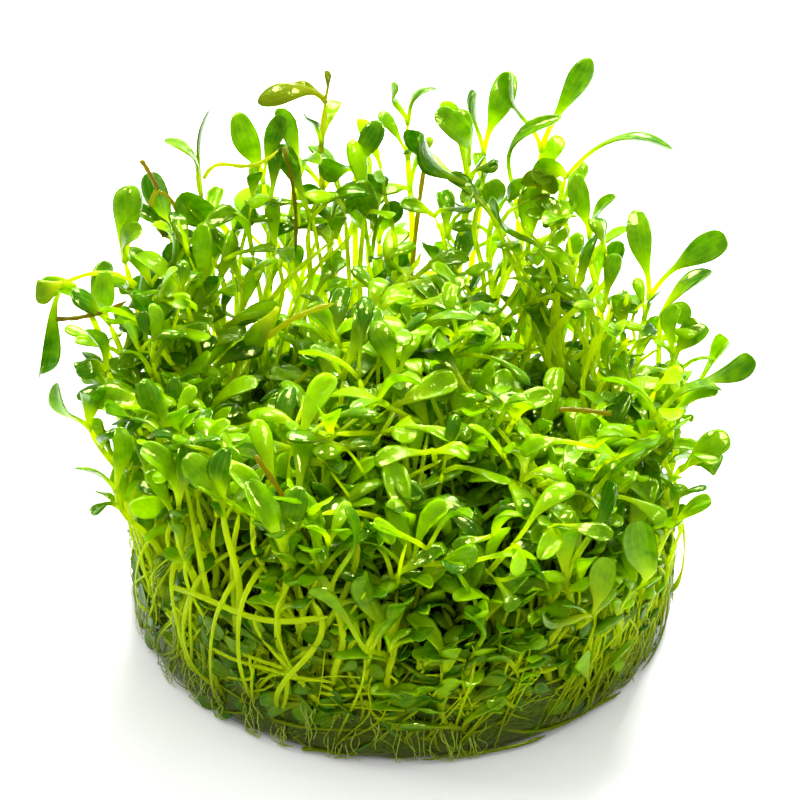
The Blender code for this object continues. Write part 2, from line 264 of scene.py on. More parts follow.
# Five fine veins over the blade's width: lighter lines where cos(15 x) peaks
vein_phase = add_node(tree, "ShaderNodeMath", [("operation", "MULTIPLY")], [(1, VEIN_WAVES)],
                      [(0, marks["across"])])
vein_wave = add_node(tree, "ShaderNodeMath", [("operation", "COSINE")], [],
                     [(0, vein_phase.outputs["Value"])])
vein_line = add_node(tree, "ShaderNodeMapRange", [],
                     [("From Min", 0.55), ("From Max", 1.0), ("To Min", 0.0), ("To Max", 0.11)],
                     [("Value", vein_wave.outputs["Value"])])
# Mottling about 1.2 mm across, as of cells with more and less chlorophyll
mottle = add_node(tree, "ShaderNodeTexNoise", [], [("Scale", 1 / (MOTTLE_WIDTH * MM)), ("Detail", 3.0)],
                  [("Vector", place)])
mottled_tone = add_node(tree, "ShaderNodeMath", [("operation", "MULTIPLY_ADD")], [(1, 0.9), (2, -0.45)],
                        [(0, mottle.outputs["Fac"])])
leaf_tone = add_node(tree, "ShaderNodeMath", [("operation", "ADD"), ("use_clamp", True)], [],
                     [(0, marks["tone"]), (1, mottled_tone.outputs["Value"])])


def blend(first, second, share):
    """Mix two colours, each a hex colour or an output, by a share that is an output."""
    mix = add_node(tree, "ShaderNodeMix", [("data_type", "RGBA")], [], [("Factor", share)])
    for socket, colour in ((mix.inputs["A"], first), (mix.inputs["B"], second)):
        if isinstance(colour, str):
            socket.default_value = to_linear(colour)
        else:
            tree.links.new(colour, socket)
    return mix.outputs["Result"]


blade_green = blend("#2e6800", "#a0ce00", leaf_tone.outputs["Value"])
veined = blend(blade_green, "#c4e408", vein_line.outputs["Result"])
skin_and_shade_colour = blend("#bcd00c", veined, blade_share.outputs["Result"])
# Painted shade: the shade mark darkens the skin to deep green deep in the clump, low on the agar and on the
# deep and sunken leaves
skin_and_shade_colour = blend(blend(skin_and_shade_colour, "#6e5c10", marks["age"]), "#0e4002", marks["shade"])
blade_glow = blend("#70bc00", "#d4f400", leaf_tone.outputs["Value"])
blade_glow = blend(blade_glow, "#d8f820", vein_line.outputs["Result"])
glow_and_shade_colour = blend("#e8f810", blade_glow, blade_share.outputs["Result"])
# Painted shade in the light that comes through, by the same shade mark
glow_and_shade_colour = blend(blend(glow_and_shade_colour, "#947c14", marks["age"]), "#1a5c00", marks["shade"])
# Unevenness of the skin, 0.7 mm between crests, which breaks up the glints
skin = add_node(tree, "ShaderNodeTexNoise", [], [("Scale", 1 / (CREST_WIDTH * MM)), ("Detail", 3.0)],
                [("Vector", place)])
bump = add_node(tree, "ShaderNodeBump", [], [("Strength", 0.7), ("Distance", CREST_HEIGHT * MM)],
                [("Height", skin.outputs["Fac"])])
wet_skin = add_node(tree, "ShaderNodeBsdfPrincipled", [],
                    [("Roughness", 0.13), ("IOR", 1.38), ("Specular Tint", to_linear("#ecff84"))],
                    [("Base Color", skin_and_shade_colour), ("Normal", bump.outputs["Normal"])])
through_light = add_node(tree, "ShaderNodeBsdfTranslucent", [], [],
                         [("Color", glow_and_shade_colour), ("Normal", bump.outputs["Normal"])])
# Stems let about two thirds of the light through, blades a quarter to over half
blade_clear = add_node(tree, "ShaderNodeMapRange", [], [("To Min", 0.26), ("To Max", 0.60)],
                       [("Value", leaf_tone.outputs["Value"])])
share = add_node(tree, "ShaderNodeMapRange", [], [("To Min", 0.68)],
                 [("Value", blade_share.outputs["Result"]), ("To Max", blade_clear.outputs["Result"])])
tissue = add_node(tree, "ShaderNodeMixShader", [], [], [("Fac", share.outputs["Result"])])
tree.links.new(wet_skin.outputs["BSDF"], tissue.inputs[1])
tree.links.new(through_light.outputs["BSDF"], tissue.inputs[2])
add_node(tree, "ShaderNodeOutputMaterial", [], [], [("Surface", tissue.outputs["Shader"])])

# Rim plantlets: the shoots that stand free round the edge of the clump. Each is
# a soft lime stem with pairs of thick glossy leaves, grown as one plant, and
# each stands where its CAD shoot stands, from the agar up to its leaf tips.
FOOT_RADIUS = 26.9
FOOT_HEIGHT = 5.8
STEM_RADIUS = 0.42
PETIOLE_HALF_THICKNESS = 0.25
BLADE_HALF_THICKNESS = 0.13
CUP_RADIUS = 29.8
CUP_SOFTNESS = 2.3
LOWEST_GROWTH = 0.15
UP = np.array([0.0, 0.0, 1.0])
FINE_STATIONS = np.array([0.0, 0.12, 0.25, 0.36, 0.46, 0.55, 0.64, 0.72, 0.79, 0.85, 0.905, 0.95, 0.98, 1.0])
CROWD_STATIONS = np.array([0.0, 0.22, 0.42, 0.60, 0.76, 0.88, 0.96, 1.0])


def unit(vectors):
    """Vectors at length one."""
    return vectors / np.maximum(np.linalg.norm(vectors, axis=-1, keepdims=True), 1e-9)


def cubic(start, first, second, end, t):
    """Bezier points of many paths: (1-t)^3 p0 + 3 t (1-t)^2 p1 + 3 t^2 (1-t) p2 + t^3 p3."""
    t = t[None, :, None]
    return ((1 - t) ** 3 * start[:, None] + 3 * t * (1 - t) ** 2 * first[:, None]
            + 3 * t ** 2 * (1 - t) * second[:, None] + t ** 3 * end[:, None])


def smooth_step(low, high, t):
    """0 below low, 1 above high, and 3 u^2 - 2 u^3 between."""
    u = np.clip((t - low) / (high - low), 0.0, 1.0)
    return u * u * (3 - 2 * u)


def carried(path, side, across, through, marks, twist=0.0):
    """Carry a ring along each path: point = path + across * side + through * normal.

    path is (n, s, 3), side (n, 3), across and through (n, s, r). The side is
    kept square to the tangent, normal = side x tangent, and both turn by twist.
    """
    tangent = unit(np.gradient(path, axis=1))
    side = np.broadcast_to(side[:, None, :], path.shape)
    side = unit(side - tangent * np.sum(side * tangent, axis=-1, keepdims=True))
    normal = np.cross(side, tangent)
    turn = twist * np.linspace(0.0, 1.0, path.shape[1])[None, :, None]
    side, normal = (side * np.cos(turn) + normal * np.sin(turn), normal * np.cos(turn) - side * np.sin(turn))
    points = path[:, :, None] + across[..., None] * side[:, :, None] + through[..., None] * normal[:, :, None]
    count, steps, sides = across.shape
    first = np.arange(count)[:, None, None] * steps * sides
    here = np.arange(sides)[None, None, :]
    beside = (here + 1) % sides
    low = first + np.arange(steps - 1)[None, :, None] * sides
    quads = np.stack([low + here, low + sides + here, low + sides + beside, low + beside], axis=-1)
    start_caps = first[:, 0] + here[0]
    end_caps = first[:, 0] + (steps - 1) * sides + here[0, :, ::-1]
    full = {label: np.broadcast_to(values, across.shape).ravel() for label, values in marks.items()}
    return {"points": points.reshape(-1, 3), "quads": quads.reshape(-1, 4),
            "caps": np.concatenate([start_caps, end_caps]), "marks": full}


def column(values, count):
    """Values of n plants, or one value for all, as (n, 1, 1)."""
    return np.broadcast_to(np.asarray(values, float).reshape(-1, 1, 1), (count, 1, 1))


def leaf_grid(start, leave, tip, width, face, curl, rng, tone=None, age=0.0, shade=0.0,
              stations=CROWD_STATIONS, sides=8, blade_ratio=(1.25, 1.9)):
    """Spoon-shaped leaves from start to tip, arching over by curl times their length.

    The blade is some 1.25 to 1.9 widths long and the petiole takes the rest. Half width
    = w / 2 * (petiole + (1 - petiole) * smooth_step) * round end, and the section is
    a thin lens, cupped by cup * (x^2 - 1/2) and folded at its midrib by
    fold * (|x| - 0.6) over its width.
    """
    count = len(start)
    span = np.linalg.norm(tip - start, axis=1, keepdims=True)
    way = (tip - start) / span
    face = unit(face - way * np.sum(face * way, axis=1, keepdims=True))
    curl = np.broadcast_to(np.asarray(curl, float).reshape(-1, 1), (count, 1))
    path = cubic(start, start + leave * span * 0.36, tip - way * span * 0.34 + face * curl * span, tip,
                 stations)
    t = stations[None, :, None]
    petiole = rng.uniform(0.17, 0.26, (count, 1, 1))
    blade_length = column(width, count) * rng.uniform(*blade_ratio, (count, 1, 1)) / span[:, :, None]
    blade_length = np.clip(blade_length, 0.30, 0.64)
    blade = smooth_step(1.0 - 1.5 * blade_length, 1.0 - 0.36 * blade_length, t)
    blunt = rng.uniform(1.9, 3.2, (count, 1, 1))
    end_share = np.clip(t - 1.0 + 0.45 * blade_length, 0.0, None) / (0.455 * blade_length)
    round_end = np.clip(1 - end_share ** blunt, 0.0, 1.0) ** (1 / blunt)
    half = 0.5 * column(width, count) * (petiole + (1 - petiole) * blade) * round_end
    thick = PETIOLE_HALF_THICKNESS + (BLADE_HALF_THICKNESS - PETIOLE_HALF_THICKNESS) * blade
    thick = thick * (0.4 + 0.6 * round_end)
    turn = np.linspace(0.0, 2 * np.pi, sides, endpoint=False)[None, None, :]
    x = np.cos(turn)
    cup = rng.uniform(-0.65, 0.85, (count, 1, 1))
    across = half * x
    fold = rng.uniform(-0.15, 0.55, (count, 1, 1))
    through = thick * np.sin(turn) + half * blade * (cup * (x ** 2 - 0.5) + fold * (np.abs(x) - 0.6))
    tones = rng.random(count) if tone is None else tone
    marks = {"along": t, "across": x, "tone": column(tones, count), "age": column(age, count),
             "shade": column(shade, count)}
    return carried(path, unit(np.cross(way, face)), across, through, marks,
                   column(rng.normal(size=count) * 0.35, count))


def stem_grid(path, radius, tone=0.5, age=0.0, shade=0.0, sides=6):
    """Round stems with tapered tips: circles of each station's radius, (n, s), along each path."""
    count = len(path)
    way = path[:, -1] - path[:, 0]
    steep = np.abs(way[:, 2:]) > 0.5 * np.linalg.norm(way, axis=1, keepdims=True)
    helper = np.where(steep, np.array([[0.95, 0.31, 0.0]]), UP[None, :])
    turn = np.linspace(0.0, 2 * np.pi, sides, endpoint=False)[None, None, :]
    taper = np.ones((1, path.shape[1], 1))
    taper[:, -1] = 0.35
    radius = np.broadcast_to(radius, path.shape[:2])[..., None] * taper
    marks = {"along": 0.0, "across": 0.0, "tone": column(tone, count), "age": column(age, count),
             "shade": column(shade, count)}
    return carried(path, unit(np.cross(way, helper)), radius * np.cos(turn), radius * np.sin(turn), marks)


def held_by_cup(points, spread):
    """The cup's wall kept the growth in: past a soft limit the radius closes on the limit.

    The limit is the cup's radius at the front and low down, and wider by spread for high
    leaves at the sides and the back: r' = limit - soft * exp(-(r - limit + soft) / soft).
    The cup's bottom held it too, so nothing is lower than a leaf's thickness.
    """
    radius = np.hypot(points[:, 0], points[:, 1])
    beside = np.abs(points[:, 0]) / radius
    behind = np.clip(points[:, 1] / radius, 0.0, 1.0)
    limit = CUP_RADIUS + spread * smooth_step(12.0, 34.0, points[:, 2]) * (beside ** 1.5 + behind)
    beyond = radius - limit + CUP_SOFTNESS
    closed = limit - CUP_SOFTNESS * np.exp(-np.maximum(beyond, 0.0) / CUP_SOFTNESS)
    scale = np.where(beyond > 0.0, closed / radius, 1.0)
    return np.column_stack([points[:, :2] * scale[:, None], np.maximum(points[:, 2], LOWEST_GROWTH)])


# The leaf layer is a plateau that falls away to the back, sooner at the left
# and the right, where it has hollows. Its height at y = 0 over x:
FALL = 0.733
FALL_ACROSS = np.array([-30, -24, -19, -14, -10, -7, 0, 5, 9, 14, 20, 26, 30])
FALL_HEIGHT = np.array([28, 24, 15, 12, 17, 28, 35, 34, 22, 15, 15, 22, 29])
PLATEAU = 23.5
# (x, y, reach, height) of rises of the plateau
PLATEAU_RISES = ((0, 2, 9, 3.5), (-16, -18, 10, 4.0), (24, -4, 7, 3.0), (10, -24, 9, -4.0), (-26, -4, 6, 3.0))


def canopy(x, y):
    """Height of the leaf layer: the lower of the risen plateau and the fall to the back."""
    rises = sum(height * np.exp(-((x - cx) ** 2 + (y - cy) ** 2) / (reach * reach))
                for cx, cy, reach, height in PLATEAU_RISES)
    return np.minimum(PLATEAU + rises, np.interp(x, FALL_ACROSS, FALL_HEIGHT) - FALL * y)


def depth_shade(points):
    """Painted shade of the growth: more so 1 to 7 mm inside the leaf layer or the rim, and low on the agar's
    side.
    """
    under = canopy(points[:, 0], points[:, 1]) - points[:, 2]
    inside = 27.5 - np.hypot(points[:, 0], points[:, 1])
    return np.maximum(0.97 * smooth_step(1.0, 7.0, np.minimum(under, inside)),
                      0.55 * smooth_step(9.0, 2.0, points[:, 2]))


def joined(name, grids, material, spread=7.5):
    """Join grids in one piece, each grid's corners moved past the points before it."""
    counts = np.array([len(grid["points"]) for grid in grids])
    first = np.cumsum(counts) - counts
    faces = [grid[kind] + offset for grid, offset in zip(grids, first) for kind in ("quads", "caps")]
    marks = {label: np.concatenate([grid["marks"][label] for grid in grids]) for label in grids[0]["marks"]}
    points = held_by_cup(np.concatenate([grid["points"] for grid in grids]), spread)
    # Painted shade: growth deep in the clump and low on the agar's side is darkened
    marks["shade"] = np.maximum(marks["shade"], depth_shade(points))
    piece = make_piece(name, points, faces, material, marks)
    return piece


# Rim shoots in millimetres, as in the CAD: the foot's bearing in degrees, the
# top of the stem, and each leaf's tip and width.
RIM_SHOOTS = (
    (168, (-30, 6, 30), (((-30, 5, 37), 2.6), ((-33.5, 5, 34), 3.2))),
    (157, (-28.5, 12, 33.5), (((-26.5, 11, 38), 2.8), ((-28, 14.5, 41), 4.0))),
    (163, (-33.5, 8.5, 33), (((-37, 7, 33.5), 2.6), ((-37, 5, 24), 3.0))),
    (176, (-30, 2, 27), (((-32, 2.5, 31.5), 2.6), ((-33, 0, 28), 2.4))),
    (190, (-31.5, -6, 25.5), (((-34.5, -6, 31), 3.2), ((-31, -6.5, 30), 3.0))),
    (204, (-28.5, -13, 23), (((-32.5, -13, 25.5), 3.0), ((-28, -12, 30), 2.6))),
    (152, (-26, 14, 29), (((-23.5, 14, 35.5), 1.8), ((-29, 16, 32), 2.6))),
    (136, (-20, 19.5, 26.5), (((-24.5, 15, 33), 3.8), ((-20, 19, 33), 3.0))),
    (129, (-18, 21.5, 30), (((-23, 18, 37.5), 3.8), ((-16, 19.5, 35.5), 3.0))),
    (143, (-24, 20, 30.5), (((-28, 18, 36), 2.0), ((-26, 21.5, 38), 3.6))),
    (134, (-21, 22, 35), (((-24.5, 20.5, 42.5), 3.4), ((-20, 24, 44), 3.2))),
    (122, (-14.5, 23, 36), (((-17, 22, 45), 3.2), ((-12.5, 24.5, 43), 2.4))),
    (108, (-8, 27.5, 43), (((-15, 25.5, 44), 2.8), ((-8, 28.5, 46), 1.0))),
    (115, (-11.5, 24, 33), (((-12, 20.5, 41.5), 3.0), ((-8.5, 22.5, 35), 2.6))),
    (101, (-5, 26.5, 35), (((-2.5, 27.5, 40.5), 2.8), ((-8.5, 23, 38.5), 3.0))),
    (95, (-2.5, 26.8, 26), (((-4.5, 23, 36), 3.0), ((-0.5, 25, 32), 2.6))),
    (89, (0.5, 28, 40), (((-0.5, 27, 45), 2.2), ((3.5, 29, 43.5), 3.0))),
    (80, (7, 28, 35), (((3.5, 25.5, 43), 3.0), ((6, 29, 41), 2.8))),
    (71, (9.5, 26, 30), (((1.5, 22, 42.5), 4.2), ((9, 23, 36), 3.0))),
    (75, (8.5, 30, 35), (((11, 31.5, 44), 3.2), ((7.5, 32.5, 41), 2.8))),
    (63, (14.5, 29, 36), (((11, 28, 46), 3.0), ((19.5, 31, 46), 3.2))),
    (66, (12, 27, 29), (((16.5, 26.5, 41.5), 2.4), ((13, 24, 35), 2.8))),
    (57, (17, 24, 36), (((28, 23.5, 39.5), 3.0), ((13.5, 22.5, 38), 3.4))),
    (45, (19.5, 21.5, 30), (((18, 22, 37.5), 2.6), ((22, 20, 36), 2.4))),
    (51, (17, 22, 25), (((9.5, 18, 37), 3.4), ((18.5, 24.5, 28.5), 2.4))),
    (29, (25.5, 14, 27.5), (((24, 16, 37), 3.0), ((33, 12.5, 36), 3.4))),
    (19, (26.5, 9.5, 28.5), (((31.5, 10, 33.5), 3.4), ((29.5, 8, 29.5), 2.8))),
    (10, (27.5, 5, 26.5), (((31, 5, 30), 2.6), ((28, 6.5, 31.5), 2.8))),
    (0, (28, 0.5, 24), (((35, 1, 29.5), 3.4), ((28, -2, 29), 2.6))),
    (342, (28, -9, 22.5), (((32.5, -9, 26.5), 3.2), ((31, -11.5, 25), 3.0))),
    (332, (27, -14.5, 20), (((30.5, -14.5, 23), 2.0), ((25.5, -13.5, 25), 3.0))),
    (320, (24, -20, 15.5), (((23, -21.5, 25.5), 3.9), ((27, -22, 16.5), 2.6))),
    (311, (19, -23, 14.5), (((13.5, -27, 18.5), 3.4), ((20, -23.5, 22.5), 3.0))),
    (303, (16, -22.6, 19), (((16, -23.5, 26), 3.4), ((20.5, -19.5, 28.5), 3.0))),
    (283, (6.5, -26.5, 11.5), (((2, -28.5, 14.5), 3.4), ((6, -28, 19.5), 3.2))),
    (293, (11.3, -25.6, 11), (((9.8, -27.8, 16.5), 3.0), ((15, -28.2, 13.5), 2.8))),
    (268, (-1, -27.2, 15), (((-4, -27.5, 23.5), 3.2), ((0.5, -29, 21), 3.0))),
    (256, (-7, -26.5, 21), (((-5.5, -26, 30.5), 3.0), ((-9.5, -28.5, 23), 2.6))),
    (245, (-11.5, -25, 24), (((-10, -24.5, 32), 3.0), ((-15, -23.5, 32), 3.0))),
    (232, (-17.5, -22, 28), (((-21, -21.5, 33.5), 3.4), ((-17, -20.5, 33.5), 3.0))),
    (219, (-22, -18, 25), (((-25.5, -17.5, 31.5), 3.0), ((-21, -16.5, 31.5), 2.8))),
)
# Shoots that are dying back, and how far they have gone
WILTING = {13: 0.5, 11: 0.15, 33: 0.15}
# A CAD leaf is as wide as a curled blade with its bend, and the flat blade is narrower
BLADE_OF_CAD_WIDTH = 0.88
# Leaf tips reach no more than a millimetre past the CAD's box
TIPS_LOW = np.array([-38.5, -30.0, 0.6])
TIPS_HIGH = np.array([36.0, 33.6, 46.8])


def stem_paths(foot, top, steps, rng, sway):
    """Stems rise nearly straight, lean over to their tops, and sway a little on the way."""
    bend = foot + (top - foot) * np.array([0.3, 0.3, 0.6])
    t = np.linspace(0.0, 1.0, steps)
    path = cubic(foot, foot + (bend - foot) * 2 / 3, top + (bend - top) * 2 / 3, top, t)
    swing = rng.normal(size=(len(foot), 1, 2)) * sway
    phase = rng.random((len(foot), 1, 2)) * 2 * np.pi
    path[:, :, :2] += np.sin(np.pi * t)[None, :, None] * np.sin(t[None, :, None] * 5.0 + phase) * swing
    return path


def on_path(path, share):
    """The point and the direction of each path at a share of its stations."""
    steps = path.shape[1]
    place = np.clip(share, 0.0, 0.999) * (steps - 1)
    low = np.floor(place).astype(int)
    row = np.arange(len(path))
    mix = (place - low)[:, None]
    return path[row, low] * (1 - mix) + path[row, low + 1] * mix, unit(path[row, low + 1] - path[row, low])


def side_leaves(path, share, bearing, rise, span, width, rng, curl=(0.0, 0.35), **marks):
    """Leaves that leave their stems at a share, a bearing and a rise, upper side towards the stem.

    Each way is cos(rise) * level bearing + sin(rise) * up, and its upper side is square to that.
    """
    node, stem_way = on_path(path, share)
    flat = np.stack([np.cos(bearing), np.sin(bearing), np.zeros(len(path))], axis=1)
    way = flat * np.cos(rise)[:, None] + UP * np.sin(rise)[:, None]
    tip = np.clip(node + way * span[:, None], TIPS_LOW, TIPS_HIGH)
    square = UP * np.cos(rise)[:, None] - flat * np.sin(rise)[:, None]
    face = unit(square + 0.30 * rng.normal(size=(len(path), 3)))
    leave = unit(stem_way * 0.7 + way * 0.6)
    return leaf_grid(node, leave, tip, width, face, rng.uniform(*curl, len(path)), rng, **marks)


def rim_plantlet(number, shoot):
    """One plantlet of the rim: its stem, its two big leaves and one to three small pairs below."""
    rng = np.random.default_rng(400 + number)
    bearing, top, big = shoot
    angle = math.radians(bearing)
    foot = np.array([[FOOT_RADIUS * math.cos(angle), FOOT_RADIUS * math.sin(angle), FOOT_HEIGHT]])
    top = np.array([top], float)
    path = stem_paths(foot, top, 16, rng, 0.8)
    radius = np.linspace(1.0, 0.70, 16)[None, :] * STEM_RADIUS
    end = unit(path[:, -1] - path[:, -2])
    tips = np.array([tip for tip, _ in big], float)
    widths = np.array([width for _, width in big]) * BLADE_OF_CAD_WIDTH
    age = WILTING.get(number, 0.0)
    start = np.repeat(top, len(big), axis=0) - end * 0.3
    way = unit(tips - start)
    outward = unit(top * np.array([1.0, 1.0, 0.0]))
    face = unit(np.array([0.0, -0.45, 0.65]) - 0.25 * outward + 0.65 * rng.normal(size=(len(big), 3)))
    leave = unit(np.repeat(end, len(big), axis=0) * 0.8 + way * 0.5)
    grids = [stem_grid(path, radius, rng.random(), age, sides=8),
             leaf_grid(start, leave, tips, widths, face, rng.uniform(0.1, 0.6, len(big)), rng,
                       tone=rng.uniform(0.0, 0.5, len(big)), age=age, stations=FINE_STATIONS, sides=12,
                       blade_ratio=(1.35, 2.0))]
    pairs = rng.integers(1, 4)
    turn = rng.random() * 2 * np.pi
    for pair in range(pairs):
        share = np.array([0.88 - 0.16 * pair - 0.10 * rng.random()])
        for side in range(2):
            bearing = np.array([turn + pair * np.pi / 2 + side * np.pi]) + rng.normal(size=1) * 0.3
            grids.append(side_leaves(path, share, bearing, rng.uniform(0.2, 1.3, 1), rng.uniform(3.0, 7.0, 1),
                                     rng.uniform(1.3, 2.4, 1), rng, tone=rng.uniform(0.0, 0.8, 1)))
    return joined(f"rim_plantlet_{number:02d}", grids, plant, spread=30.0)


for number, shoot in enumerate(RIM_SHOOTS, 1):
    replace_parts(rim_plantlet(number, shoot), f"rim_shoot_{number:02d}")

# Rim undergrowth: the shorter shoots between the tall ones, standing just
# inside the rim and leaning out through it, in six arcs. Their height
# follows the tall shoots' height at each bearing.
RIM_BEARINGS = np.array([0, 19, 29, 45, 57, 66, 80, 95, 115, 134, 143, 157, 168, 190, 204, 219, 232, 245,
                         256, 268, 283, 293, 303, 320, 342, 360])
RIM_HEIGHTS = np.array([28, 32, 35, 36, 38, 40, 42, 41, 41, 42, 37, 38, 35, 30, 28, 30, 32, 30,
                        27, 23, 19, 18, 24, 22, 25, 28])


def rim_height(bearing):
    """Height of the leaf tips over the rim, straight between the listed bearings in degrees."""
    return np.interp(np.mod(bearing, 360), RIM_BEARINGS, RIM_HEIGHTS)


def leafy_stems(foot, top, rng, pairs, span, width, radius=(0.24, 0.38), sway=0.7, drop=0.24,
                rise=(0.3, 1.35), shade=0.0, curl=(0.0, 0.5), steps=10):
    """Stems with opposite leaf pairs, each pair a quarter turn from the one above it."""
    count = len(foot)
    path = stem_paths(foot, top, steps, rng, sway)
    thick = np.linspace(1.1, 0.75, steps)[None, :] * rng.uniform(*radius, (count, 1))
    grids = [stem_grid(path, thick, rng.random(count), shade=shade)]
    turn = rng.random(count) * 2 * np.pi
    for pair in range(pairs):
        share = 1.0 - pair * (drop + 0.06 * rng.random(count))
        for side in range(2):
            bearing = turn + (pair * 0.5 + side) * np.pi + rng.normal(size=count) * 0.35
            lift = rng.uniform(*rise, count) * (1.0 - 0.25 * pair)
            size = rng.random(count)
            grids.append(side_leaves(path, share, bearing, lift, span[0] + (span[1] - span[0]) * size,
                                     width[0] + (width[1] - width[0]) * size, rng, curl, shade=shade))
    return grids


def polar(bearing, radius, height):
    """Points at a bearing in degrees, a radius and a height: (r cos a, r sin a, h)."""
    angle = np.radians(bearing)
    return np.stack([radius * np.cos(angle), radius * np.sin(angle), height], axis=-1)


# Each arc: bearings from and to, number, lowest and highest share of the rim
# height, lowest foot, leaf pairs
UNDERGROWTH = (
    (-22, 40, 24, 0.15, 0.85, 6.5, 1),
    (40, 77, 8, 0.35, 0.95, 6.5, 1),
    (93, 140, 18, 0.35, 0.95, 6.5, 1),
    (140, 200, 34, 0.40, 0.92, 6.5, 2),
    (200, 262, 28, 0.74, 0.98, 5.0, 1),
    (262, 338, 76, 0.00, 0.90, 1.5, 2),
)
for index, (first, last, count, low, high, root, pairs) in enumerate(UNDERGROWTH):
    rng = np.random.default_rng(600 + index)
    bearing = first + (last - first) * (np.arange(count) + rng.random(count)) / count
    foot_radius = rng.uniform(23.0, 26.8, count)
    top_radius = foot_radius + rng.uniform(-2.5, 1.8, count)
    height = root + 1.5 + (rim_height(bearing) - root - 5.0) * rng.uniform(low, high, count)
    foot = polar(bearing, foot_radius, np.full(count, root))
    top = polar(bearing + rng.normal(size=count) * 5.0, top_radius, height)
    grids = leafy_stems(foot, top, rng, pairs, (4.0, 9.0), (1.4, 2.8), sway=1.2)
    joined(f"rim_undergrowth_{index + 1}", grids, plant)

# Back lattice: thin stems at the back, rooted in the agar, that lean across each
# other with daylight between them. Fewer than half of them have leaves.
LATTICE = 104
lattice_rng = np.random.default_rng(620)
bearing = np.where(np.arange(LATTICE) % 3 == 0, lattice_rng.uniform(18, 78, LATTICE),
                   lattice_rng.uniform(5, 178, LATTICE))
foot = polar(bearing, lattice_rng.uniform(20.0, 26.8, LATTICE), np.full(LATTICE, 6.5))
top = polar(bearing + lattice_rng.normal(size=LATTICE) * 22.0, lattice_rng.uniform(22.0, 28.5, LATTICE),
            lattice_rng.uniform(14.0, 34.0, LATTICE))
path = stem_paths(foot, top, 12, lattice_rng, 2.2)
thick = np.linspace(1.1, 0.8, 12)[None, :] * lattice_rng.uniform(0.18, 0.36, (LATTICE, 1))
grids = [stem_grid(path, thick, lattice_rng.random(LATTICE))]
leafed = path[lattice_rng.random(LATTICE) < 0.45]
for side in range(2):
    turn = lattice_rng.random(len(leafed)) * 2 * np.pi
    grids.append(side_leaves(leafed, np.ones(len(leafed)), turn, lattice_rng.uniform(0.2, 1.4, len(leafed)),
                             lattice_rng.uniform(3.0, 6.5, len(leafed)),
                             lattice_rng.uniform(1.2, 2.5, len(leafed)), lattice_rng, (0.0, 0.5)))
joined("back_lattice_stems", grids, plant)

# Heart of the clump: some two hundred short plantlets that grew up through each
# other from the agar to a leaf layer too dense to follow one by one. They are
# made in four quarters of like plantlets, each with three pairs of leaves.
GOLDEN_ANGLE = 137.508
CROWD = 205


def sunflower(count, reach, turn, rng, scatter):
    """Even spots in a disc: radius = reach * sqrt(i / n), bearing = i * golden angle."""
    order = np.arange(count)
    spots = polar(order * GOLDEN_ANGLE + turn, reach * np.sqrt((order + 0.5) / count), np.zeros(count))[:, :2]
    return spots + rng.normal(size=(count, 2)) * scatter


crowd_rng = np.random.default_rng(77)
spots = sunflower(CROWD, 24.8, 0.0, crowd_rng, 0.5)
heads = spots * 1.02 + crowd_rng.normal(size=(CROWD, 2)) * 2.6
height = canopy(heads[:, 0], heads[:, 1]) - 4.5 + crowd_rng.normal(size=CROWD) * 1.5
feet = np.column_stack([spots, np.full(CROWD, 7.5)])
tops = np.column_stack([heads, np.maximum(height, 9.5)])
quarter = np.floor((np.arctan2(spots[:, 1], spots[:, 0]) + np.pi) / (np.pi / 2)).astype(int) % 4
for index, side_name in enumerate(("front_left", "front_right", "back_right", "back_left")):
    chosen = quarter == index
    rng = np.random.default_rng(500 + index)
    grids = leafy_stems(feet[chosen], tops[chosen], rng, 3, (4.5, 10.0), (1.3, 2.8), sway=1.3, drop=0.13,
                        rise=(0.4, 1.4))
    piece = joined(f"heart_plantlets_{side_name}", grids, plant)
    if index == 0:
        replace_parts(piece, "leafy_heart")

# Deep growth: leaves and stems under the leaf layer, darkened with painted shade
# of the layer above them, which close the view down to the root mat.
DEEP = 170
deep_rng = np.random.default_rng(81)
spots = sunflower(DEEP, 22.0, 57.0, deep_rng, 0.5)
heads = spots + deep_rng.normal(size=(DEEP, 2)) * 3.0
height = 8.0 + (canopy(heads[:, 0], heads[:, 1]) - 12.0) * deep_rng.uniform(0.2, 0.8, DEEP)
foot = np.column_stack([spots, np.full(DEEP, 7.0)])
top = np.column_stack([heads, np.maximum(height, 8.6)])
joined("deep_growth", leafy_stems(foot, top, deep_rng, 2, (4.0, 7.0), (2.0, 3.4), shade=0.75, sway=1.0,
                                  steps=7), plant)

# Low growth: a lawn of tiny seedlings, rooted in the felt on top of the agar and
# seen in the hollows. Each is a hair-thin stem with one pair of leaves.
LAWN = 420
lawn_rng = np.random.default_rng(83)
spots = sunflower(LAWN, 25.6, 20.0, lawn_rng, 0.6)
heads = spots + lawn_rng.normal(size=(LAWN, 2)) * 1.3
foot = np.column_stack([spots, np.full(LAWN, 7.5)])
top = np.column_stack([heads, lawn_rng.uniform(9.5, 15.0, LAWN)])
joined("low_growth", leafy_stems(foot, top, lawn_rng, 1, (1.8, 3.6), (0.9, 1.6), (0.12, 0.22), steps=5),
       plant)

